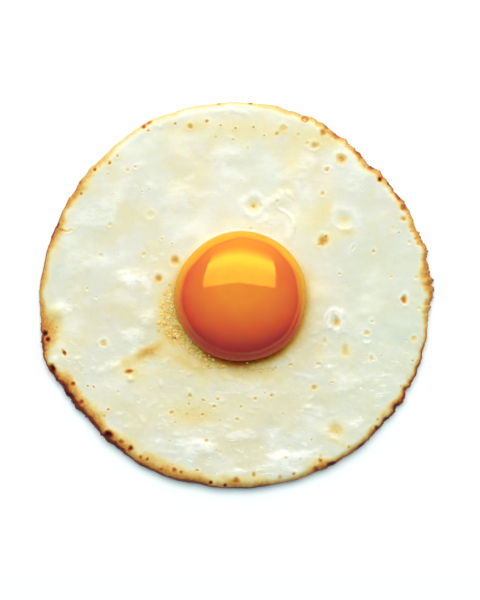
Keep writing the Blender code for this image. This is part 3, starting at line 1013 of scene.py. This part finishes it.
def scattered_balls(name, places, sizes, squash, seed, looks=None):
    """Many small uneven balls joined in one mesh."""
    bpy.ops.mesh.primitive_ico_sphere_add(subdivisions=2, radius=1.0)
    source = bpy.context.object
    ball = np.array([vertex.co for vertex in source.data.vertices])
    ball_faces = np.array([face.vertices[:] for face in source.data.polygons])
    bpy.data.objects.remove(source)
    rng = np.random.default_rng(seed)
    vertices, faces = [], []
    for number, (place, size) in enumerate(zip(places, sizes)):
        shape = ball * size * np.array((1.0, 1.0, squash))
        uneven = 1.0 + 0.22 * FINE_NOISE.at(shape + rng.uniform(0.0, 40.0, 3), size * 1.1, 2)
        vertices.append(shape * uneven[:, None] + place)
        faces.append(ball_faces + number * len(ball))
    spread = {key: np.repeat(values, len(ball)) for key, values in (looks or {}).items()}
    return make_object(name, np.concatenate(vertices), np.concatenate(faces).tolist(), spread)


def build_froth():
    """Tiny bubbles that set in the white at the left of the yolk and below it."""
    rng = np.random.default_rng(FROTH_SEED)
    plan = []
    for degrees, spread, inner, outer, count in FROTH_BANDS:
        angle = np.radians(rng.normal(degrees, spread, count))
        radius = yolk_outline(angle) + inner + np.abs(rng.normal(0.0, outer, count))
        plan.append(AXIS + np.column_stack((np.cos(angle), np.sin(angle))) * radius[:, None])
    for x, y, spread, count in FROTH_SPOTS:
        away = rng.normal(0.0, 1.0, (count, 2)) * np.array((spread, 0.4 * spread))
        plan.append(np.array((x, y)) + away)
    plan = np.concatenate(plan)
    angle, radius = polar(plan)
    plan = plan[radius > yolk_outline(angle) + 0.15]
    sizes = 0.15 + 0.48 * rng.uniform(0.0, 1.0, len(plan)) ** 2
    height = white_top(plan)[0] - 0.10 * sizes
    return scattered_balls("froth", np.column_stack((plan, height)), sizes, 0.30, 4)


def build_crisp_edge():
    """Hard fried crumbs along the rim, thickest where the edge is roughest."""
    rng = np.random.default_rng(CRUMB_SEED)
    places, sizes, brown = [], [], []
    while len(places) < CRUMB_COUNT:
        angle = rng.uniform(0.0, TURN)
        rough = edge_roughness(angle)
        if rng.uniform() > rough**3:
            continue
        rim = rim_radius(np.array([angle]))[0]
        size = rng.uniform(0.14, 0.20 + 0.42 * rough**2)
        radius = rim - 0.4 * size - abs(rng.normal(0.0, 0.3 * rough))
        height = rim_tip(np.array([angle]))[0] + rng.uniform(-0.2, 0.5)
        places.append((AXIS[0] + radius * math.cos(angle), AXIS[1] + radius * math.sin(angle), height))
        sizes.append(size)
        brown.append(0.48 + 0.42 * rng.uniform(0.0, 1.0) ** 2)
    return scattered_balls("crisp_edge", places, sizes, 0.75, 9, {"brown": np.array(brown)})


# ---------------------------------------------------------------- materials


def shader_of(material):
    """The material's Principled BSDF and its node tree's parts."""
    material.use_nodes = True
    tree = material.node_tree
    return tree.nodes["Principled BSDF"], tree.nodes, tree.links


def linear(red, green, blue):
    """A colour given as 0 to 255 on screen, in Blender's linear values."""
    values = [channel / 255.0 for channel in (red, green, blue)]
    straight = [v / 12.92 if v <= 0.04045 else ((v + 0.055) / 1.055) ** 2.4 for v in values]
    return (*straight, 1.0)


def attribute(nodes, name):
    """A number stored on the mesh's vertices."""
    node = nodes.new("ShaderNodeAttribute")
    node.attribute_name = name
    return node.outputs["Fac"]


def noise(nodes, links, coordinates, length, detail=3.0, roughness=0.5):
    """Noise with features about a length in millimetres apart."""
    node = nodes.new("ShaderNodeTexNoise")
    node.inputs["Scale"].default_value = 1.0 / (length * MM)
    node.inputs["Detail"].default_value = detail
    node.inputs["Roughness"].default_value = roughness
    links.new(coordinates, node.inputs["Vector"])
    return node.outputs["Fac"]


def mix_colour(nodes, links, share, first, second, blend="MIX"):
    """Blend two colours, each a fixed colour or another node's output."""
    node = nodes.new("ShaderNodeMix")
    node.data_type = "RGBA"
    node.blend_type = blend
    sockets = {socket.identifier: socket for socket in node.inputs}
    ends = (sockets["Factor_Float"], sockets["A_Color"], sockets["B_Color"])
    for value, socket in zip((share, first, second), ends):
        if isinstance(value, bpy.types.NodeSocket):
            links.new(value, socket)
        else:
            socket.default_value = value
    outputs = {socket.identifier: socket for socket in node.outputs}
    return outputs["Result_Color"]


def maths(nodes, links, operation, first, second, clamp=False):
    """Arithmetic on two values, each a number or another node's output."""
    node = nodes.new("ShaderNodeMath")
    node.operation = operation
    node.use_clamp = clamp
    for value, socket in zip((first, second), node.inputs):
        if isinstance(value, bpy.types.NodeSocket):
            links.new(value, socket)
        else:
            socket.default_value = value
    return node.outputs["Value"]


def stretched(nodes, links, coordinates, scale):
    """Coordinates multiplied by a scale along each axis."""
    node = nodes.new("ShaderNodeVectorMath")
    node.operation = "MULTIPLY"
    links.new(coordinates, node.inputs[0])
    node.inputs[1].default_value = scale
    return node.outputs["Vector"]


def map_range(nodes, links, value, low, high, start=0.0, end=1.0):
    """A smooth step of a value between two limits."""
    node = nodes.new("ShaderNodeMapRange")
    node.interpolation_type = "SMOOTHSTEP"
    links.new(value, node.inputs["Value"])
    node.inputs["From Min"].default_value = low
    node.inputs["From Max"].default_value = high
    node.inputs["To Min"].default_value = start
    node.inputs["To Max"].default_value = end
    return node.outputs["Result"]


def colour_ramp(nodes, links, value, stops):
    """A colour ramp through stops of (place, colour)."""
    node = nodes.new("ShaderNodeValToRGB")
    elements = node.color_ramp.elements
    elements[0].position, elements[0].color = stops[0]
    elements[1].position, elements[1].color = stops[-1]
    for place, colour in stops[1:-1]:
        elements.new(place).color = colour
    links.new(value, node.inputs["Fac"])
    return node.outputs["Color"]


def set_subsurface(shader, weight, radius, scale):
    """Let light into the material, down to a scale in millimetres."""
    shader.inputs["Subsurface Weight"].default_value = weight
    shader.inputs["Subsurface Radius"].default_value = radius
    shader.inputs["Subsurface Scale"].default_value = scale * MM


def add_bump(nodes, links, shader, height, strength, distance):
    """Fine relief of a height in millimetres in the material."""
    bump = nodes.new("ShaderNodeBump")
    bump.inputs["Strength"].default_value = strength
    bump.inputs["Distance"].default_value = distance * MM
    links.new(height, bump.inputs["Height"])
    links.new(bump.outputs["Normal"], shader.inputs["Normal"])


# Colours of the white, of its painted sheen and glints, and what the yolk's painted glow multiplies
# them by beside it.
CREAM = linear(220, 214, 197)
WARM_CREAM = linear(222, 210, 175)
THIN_GREEN = linear(211, 214, 196)
SHEEN_WHITE = linear(240, 235, 224)
GLINT = linear(250, 246, 236)
YELLOW_GLOW = (1.05, 0.88, 0.25, 1.0)
ORANGE_GLOW = (1.05, 0.66, 0.42, 1.0)

# How far the clouds of painted sheen and the streaks of sheen and glints are drawn out along each axis.
CLOUD_STRETCH = (0.7, 1.2, 1.0)
STREAK_STRETCH = (0.6, 1.3, 1.0)

# Colour of the crust from barely browned to burnt.
BROWNING = (
    (0.0, linear(229, 222, 190)),
    (0.12, linear(228, 212, 162)),
    (0.25, linear(222, 193, 122)),
    (0.40, linear(210, 157, 68)),
    (0.55, linear(198, 112, 44)),
    (0.70, linear(152, 64, 34)),
    (0.85, linear(96, 24, 26)),
    (1.0, linear(52, 2, 8)),
)


def browned(nodes, links, coordinates):
    """The browning of the surface with its fine mottling, from 0 to 1."""
    amount = attribute(nodes, "brown")
    mottle = noise(nodes, links, coordinates, 0.9, 4.0, 0.6)
    spread = map_range(nodes, links, mottle, 0.3, 0.7, -0.06, 0.06)
    share = map_range(nodes, links, amount, 0.05, 0.45)
    return maths(nodes, links, "ADD", amount, maths(nodes, links, "MULTIPLY", spread, share), True)


def white_material():
    """Cooked egg white: cream, soft inside, a little oily, golden to maroon where fried, with painted
    sheen and glints and the yolk's painted glow.
    """
    material = bpy.data.materials.new("egg_white")
    shader, nodes, links = shader_of(material)
    coordinates = nodes.new("ShaderNodeTexCoord").outputs["Object"]
    broad = noise(nodes, links, coordinates, 13.0, 4.0, 0.6)
    cream = mix_colour(nodes, links, map_range(nodes, links, broad, 0.40, 0.64), CREAM, WARM_CREAM)
    cream = mix_colour(nodes, links, attribute(nodes, "green"), cream, THIN_GREEN)
    # Painted sheen: soft clouds of pale sheen over the white.
    cloud = noise(nodes, links, stretched(nodes, links, coordinates, CLOUD_STRETCH), 9.0, 4.0, 0.55)
    cream = mix_colour(nodes, links, map_range(nodes, links, cloud, 0.48, 0.74, 0.0, 0.5), cream, SHEEN_WHITE)
    # Painted sheen: the swellings, pit lips, folds and upper lip are whitened, broken up by streaks.
    streaks = noise(nodes, links, stretched(nodes, links, coordinates, STREAK_STRETCH), 1.7, 4.0, 0.62)
    broken = map_range(nodes, links, streaks, 0.38, 0.55, 0.25, 1.0)
    painted_sheen = maths(nodes, links, "MULTIPLY", attribute(nodes, "painted_sheen"), broken)
    cream = mix_colour(nodes, links, painted_sheen, cream, SHEEN_WHITE)
    # Painted glints: small highlights in the streaks where they are clustered.
    glint = maths(
        nodes, links, "MULTIPLY", map_range(nodes, links, streaks, 0.57, 0.70), attribute(nodes, "painted_glints")
    )
    cream = mix_colour(nodes, links, glint, cream, GLINT)
    brown = browned(nodes, links, coordinates)
    crust = colour_ramp(nodes, links, brown, BROWNING)
    share = map_range(nodes, links, brown, 0.0, 0.16)
    body = mix_colour(nodes, links, share, cream, crust)
    # Painted light: the yolk's glow tints the white beside it, yellow further out and orange close in.
    glow = attribute(nodes, "glow")
    body = mix_colour(nodes, links, glow, body, YELLOW_GLOW, "MULTIPLY")
    close = maths(nodes, links, "MULTIPLY", glow, glow)
    body = mix_colour(nodes, links, close, body, ORANGE_GLOW, "MULTIPLY")
    links.new(body, shader.inputs["Base Color"])
    fine = noise(nodes, links, coordinates, 2.4, 3.0)
    smooth = map_range(nodes, links, fine, 0.3, 0.7, 0.20, 0.32)
    rough = maths(nodes, links, "ADD", smooth, maths(nodes, links, "MULTIPLY", brown, 0.22))
    links.new(rough, shader.inputs["Roughness"])
    shine = map_range(nodes, links, brown, 0.1, 0.8, 0.36, 0.15)
    links.new(shine, shader.inputs["Specular IOR Level"])
    oil = map_range(nodes, links, brown, 0.1, 0.6, 0.10, 0.0)
    links.new(oil, shader.inputs["Coat Weight"])
    set_subsurface(shader, 0.35, (1.0, 0.85, 0.55), 1.6)
    shader.inputs["IOR"].default_value = 1.38
    shader.inputs["Coat Roughness"].default_value = 0.12
    grain = noise(nodes, links, coordinates, 0.55, 4.0, 0.6)
    skin = noise(nodes, links, coordinates, 3.2, 3.0)
    crumbly = map_range(nodes, links, brown, 0.0, 1.0, 0.10, 0.70)
    lumps = maths(nodes, links, "MULTIPLY", grain, crumbly)
    lumps = maths(nodes, links, "ADD", lumps, maths(nodes, links, "MULTIPLY", glint, 0.5))
    lumps = maths(nodes, links, "ADD", lumps, maths(nodes, links, "MULTIPLY", skin, 0.35))
    add_bump(nodes, links, shader, lumps, 0.55, 0.28)
    return material


# Colour of the yolk from shallow to deepest, the darkest reds being painted shade low on its near side,
# and of its flank, whose gold is partly painted light.
YOLK_DEPTHS_AND_SHADE = (
    (0.0, linear(230, 122, 46)),
    (0.18, linear(230, 104, 48)),
    (0.45, linear(224, 84, 50)),
    (0.66, linear(226, 62, 50)),
    (0.88, linear(208, 54, 54)),
    (1.0, linear(196, 50, 56)),
)
YOLK_GOLD_AND_LIGHT = linear(240, 170, 34)


def yolk_material():
    """Runny yolk under its skin: wet, rich orange, paler down the flank, with painted shade reddening
    its near side and painted light gilding its upper flank.
    """
    material = bpy.data.materials.new("yolk")
    shader, nodes, links = shader_of(material)
    coordinates = nodes.new("ShaderNodeTexCoord").outputs["Object"]
    cloud = map_range(nodes, links, noise(nodes, links, coordinates, 7.0, 3.0), 0.3, 0.7, -0.05, 0.05)
    # Painted shade: the ramp's darkest end stands for shade low on the yolk's near side.
    depth = maths(nodes, links, "ADD", attribute(nodes, "deep_and_shade"), cloud, True)
    body = colour_ramp(nodes, links, depth, YOLK_DEPTHS_AND_SHADE)
    # Painted light: the gold is partly the flank's own paler tone and partly painted light on its upper
    # side.
    colour = mix_colour(nodes, links, attribute(nodes, "gold"), body, YOLK_GOLD_AND_LIGHT)
    links.new(colour, shader.inputs["Base Color"])
    fine = noise(nodes, links, coordinates, 1.4, 3.0)
    polish = map_range(nodes, links, fine, 0.3, 0.7, 0.05, 0.09)
    dull = maths(nodes, links, "MULTIPLY", attribute(nodes, "flank"), 0.22)
    links.new(maths(nodes, links, "ADD", polish, dull), shader.inputs["Roughness"])
    set_subsurface(shader, 0.25, (1.0, 0.32, 0.06), 1.5)
    shader.inputs["IOR"].default_value = 1.58
    shine = map_range(nodes, links, attribute(nodes, "flank"), 0.0, 1.0, 1.0, 0.10)
    links.new(shine, shader.inputs["Specular IOR Level"])
    shader.inputs["Specular Tint"].default_value = (1.0, 1.0, 0.04, 1.0)
    add_bump(nodes, links, shader, fine, 0.15, 0.05)
    return material


FROTH_TINTS = (
    (0.35, linear(250, 190, 84)),
    (0.50, linear(254, 206, 106)),
    (0.65, linear(255, 228, 144)),
)


def froth_material():
    """Set froth: pale wet bubbles that carry a little of the yolk's gold."""
    material = bpy.data.materials.new("froth")
    shader, nodes, links = shader_of(material)
    coordinates = nodes.new("ShaderNodeTexCoord").outputs["Object"]
    tint = noise(nodes, links, coordinates, 1.6, 2.0)
    links.new(colour_ramp(nodes, links, tint, FROTH_TINTS), shader.inputs["Base Color"])
    links.new(map_range(nodes, links, tint, 0.3, 0.7, 0.08, 0.22), shader.inputs["Roughness"])
    set_subsurface(shader, 0.3, (1.0, 0.8, 0.4), 0.6)
    shader.inputs["Specular IOR Level"].default_value = 0.2
    shader.inputs["Specular Tint"].default_value = (1.0, 0.8, 0.4, 1.0)
    add_bump(nodes, links, shader, noise(nodes, links, coordinates, 0.3, 2.0), 0.3, 0.05)
    return material


def crust_material():
    """Hard fried crumbs: golden brown to maroon, dry and rough."""
    material = bpy.data.materials.new("crust")
    shader, nodes, links = shader_of(material)
    coordinates = nodes.new("ShaderNodeTexCoord").outputs["Object"]
    brown = browned(nodes, links, coordinates)
    links.new(colour_ramp(nodes, links, brown, BROWNING), shader.inputs["Base Color"])
    fine = noise(nodes, links, coordinates, 0.5, 4.0, 0.65)
    links.new(map_range(nodes, links, fine, 0.3, 0.7, 0.30, 0.55), shader.inputs["Roughness"])
    shader.inputs["Coat Weight"].default_value = 0.2
    shader.inputs["Coat Roughness"].default_value = 0.2
    add_bump(nodes, links, shader, fine, 0.6, 0.12)
    return material


# ---------------------------------------------------------------- the stage

# Camera: lens, and place over the frame's origin, in millimetres.
CAMERA_LENS = 100.0
CAMERA_HEIGHT = 507.3
CAMERA_PLACE = (1.06, -1.52)

# Main light: place in metres and degrees, and its strength from one side to the other.
KEY_TILT = 38.5
KEY_DISTANCE = 2.4
KEY_SIZE = (3.41, 2.35)
KEY_AZIMUTH = 0.5
KEY_LEAN = (-26.0, -2.5, -2.5)
KEY_POWER = 137.0
KEY_BAND = tuple(
    (place, (grey, grey, grey, 1.0))
    for place, grey in (
        (0.0, 0.50),
        (0.15, 0.50),
        (0.30, 0.64),
        (0.45, 0.94),
        (0.56, 0.98),
        (0.68, 0.52),
        (0.80, 0.24),
        (1.0, 0.02),
    )
)
KEY_COLOUR = (1.0, 0.855, 0.82)

# Sky: colour, least and most strength, and the levels between which it rises.
FILL_COLOUR = (0.33, 0.565, 0.61)
FILL_LOW = 0.10
FILL_HIGH = 1.12
FILL_LEVELS = (-0.35, 0.85)
FILL_LEAN = 0.6

FLOOR_SIZE = 40.0
FLOOR_WHITE = (0.945, 0.955, 0.955, 1.0)


def add_softbox():
    """The main light, brightest in a band across it, as the yolk mirrors it."""
    light = bpy.data.lights.new("key", "AREA")
    light.shape = "RECTANGLE"
    light.size, light.size_y = KEY_SIZE
    light.energy = KEY_POWER
    light.color = KEY_COLOUR
    light.use_nodes = True
    nodes, links = light.node_tree.nodes, light.node_tree.links
    across = nodes.new("ShaderNodeNewGeometry").outputs["Parametric"]
    parts = nodes.new("ShaderNodeSeparateXYZ")
    links.new(across, parts.inputs["Vector"])
    glow = colour_ramp(nodes, links, parts.outputs["Y"], KEY_BAND)
    links.new(glow, nodes["Emission"].inputs["Strength"])
    made = bpy.data.objects.new("key", light)
    tilt, azimuth = math.radians(KEY_TILT), math.radians(KEY_AZIMUTH)
    aside, beyond = math.sin(tilt) * math.sin(azimuth), math.sin(tilt) * math.cos(azimuth)
    made.location = Vector((aside, beyond, math.cos(tilt))) * KEY_DISTANCE
    made.rotation_euler = [math.radians(turn) for turn in KEY_LEAN]
    bpy.context.scene.collection.objects.link(made)


def add_sky():
    """A pale cyan sky, dimmer low down and on the near side."""
    world = bpy.data.worlds.new("sky")
    world.use_nodes = True
    nodes, links = world.node_tree.nodes, world.node_tree.links
    background = nodes["Background"]
    background.inputs["Color"].default_value = (*FILL_COLOUR, 1.0)
    direction = nodes.new("ShaderNodeTexCoord").outputs["Generated"]
    parts = nodes.new("ShaderNodeSeparateXYZ")
    links.new(direction, parts.inputs["Vector"])
    lean = maths(nodes, links, "MULTIPLY", parts.outputs["Y"], FILL_LEAN)
    level = maths(nodes, links, "ADD", parts.outputs["Z"], lean)
    strength = map_range(nodes, links, level, *FILL_LEVELS, FILL_LOW, FILL_HIGH)
    links.new(strength, background.inputs["Strength"])
    bpy.context.scene.world = world


def build_stage():
    """A white floor, one soft light beyond the far side of the egg, a pale sky and the camera."""
    bpy.ops.mesh.primitive_plane_add(size=FLOOR_SIZE)
    floor = bpy.context.object
    floor.name = "floor"
    material = bpy.data.materials.new("floor")
    shader = shader_of(material)[0]
    shader.inputs["Base Color"].default_value = FLOOR_WHITE
    shader.inputs["Roughness"].default_value = 0.9
    shader.inputs["Specular IOR Level"].default_value = 0.1
    floor.data.materials.append(material)

    add_softbox()
    add_sky()

    camera = bpy.data.cameras.new("camera")
    camera.lens = CAMERA_LENS
    eye = bpy.data.objects.new("camera", camera)
    eye.location = (CAMERA_PLACE[0] * MM, CAMERA_PLACE[1] * MM, CAMERA_HEIGHT * MM)
    bpy.context.scene.collection.objects.link(eye)
    bpy.context.scene.camera = eye
    bpy.context.scene.view_settings.view_transform = "Standard"


def finish_piece(piece, material, node=None):
    """Give a piece its material and tie it to the CAD model."""
    piece.data.materials.append(material)
    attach(piece, "root")
    if node:
        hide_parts(node)


finish_piece(build_white(), white_material(), "egg_white")
finish_piece(build_yolk(), yolk_material(), "yolk")
finish_piece(build_froth(), froth_material())
finish_piece(build_crisp_edge(), crust_material())
build_stage()

bpy.context.view_layer.update()
